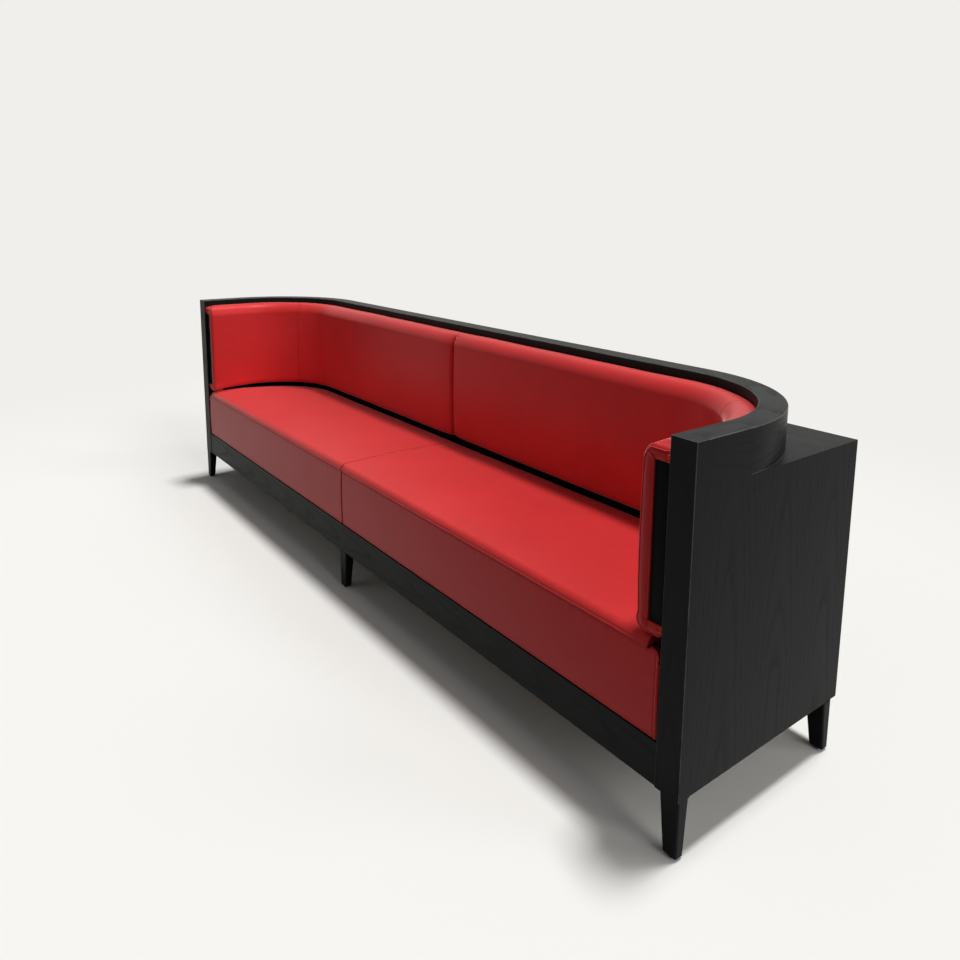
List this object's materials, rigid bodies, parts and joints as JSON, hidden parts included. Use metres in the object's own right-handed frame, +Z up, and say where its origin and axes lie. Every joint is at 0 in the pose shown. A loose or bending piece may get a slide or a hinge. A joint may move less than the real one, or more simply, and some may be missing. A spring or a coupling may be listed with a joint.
{
  "type": "booth bench",
  "caption": "Long upholstered booth bench: padded back that turns through round corners into short wings, seat cushions, black wooden case, round top rail and tapered legs.",
  "frame": {"origin": "on the floor at the centre of the bench's plan", "axes": "+X along the bench, to the right as seen from the front, +Y to the back, +Z up"},
  "size_m": [2.976, 0.61, 0.9],
  "materials": {
    "red_leather": "satin",
    "black_ash": "satin",
    "black_board": "matte",
    "frame_softwood": "matte",
    "birch_plywood": "matte",
    "zinc_steel": "satin",
    "glide_nylon": "matte"
  },
  "bodies": {
    "root": {"back_rail": "black_ash", "back_shell": "black_board", "back_stud_1": "frame_softwood", "back_stud_2": "frame_softwood", "back_stud_3": "frame_softwood", "back_stud_4": "frame_softwood", "back_stud_5": "frame_softwood", "board_screws": "zinc_steel", "centre_front_leg": "black_ash", "centre_rear_leg": "black_ash", "cross_bearer_1": "frame_softwood", "cross_bearer_2": "frame_softwood", "cross_bearer_3": "frame_softwood", "cross_bearer_4": "frame_softwood", "cross_bearer_5": "frame_softwood", "cross_bearer_6": "frame_softwood", "cross_bearer_7": "frame_softwood", "front_rail": "black_ash", "left_back_core": "black_board", "left_back_pad": "red_leather", "left_corner_deck": "black_ash", "left_corner_rail": "black_ash", "left_corner_shell": "black_board", "left_deck_batten": "frame_softwood", "left_front_leg": "black_ash", "left_post": "black_ash", "left_rear_leg": "black_ash", "left_seat_board": "birch_plywood", "left_seat_facing": "red_leather", "left_seat_pad": "red_leather", "left_side_panel": "black_ash", "left_wing_core": "black_board", "left_wing_pad": "red_leather", "left_wing_rail": "black_ash", "left_wing_shell": "black_board", "leg_bolts": "zinc_steel", "leg_glides": "glide_nylon", "pad_screws": "zinc_steel", "rear_panel": "black_ash", "rear_rail": "frame_softwood", "right_back_core": "black_board", "right_back_pad": "red_leather", "right_corner_deck": "black_ash", "right_corner_rail": "black_ash", "right_corner_shell": "black_board", "right_deck_batten": "frame_softwood", "right_front_leg": "black_ash", "right_post": "black_ash", "right_rear_leg": "black_ash", "right_seat_board": "birch_plywood", "right_seat_facing": "red_leather", "right_seat_pad": "red_leather", "right_side_panel": "black_ash", "right_wing_core": "black_board", "right_wing_pad": "red_leather", "right_wing_rail": "black_ash", "right_wing_shell": "black_board"}
  },
  "joints": []
}
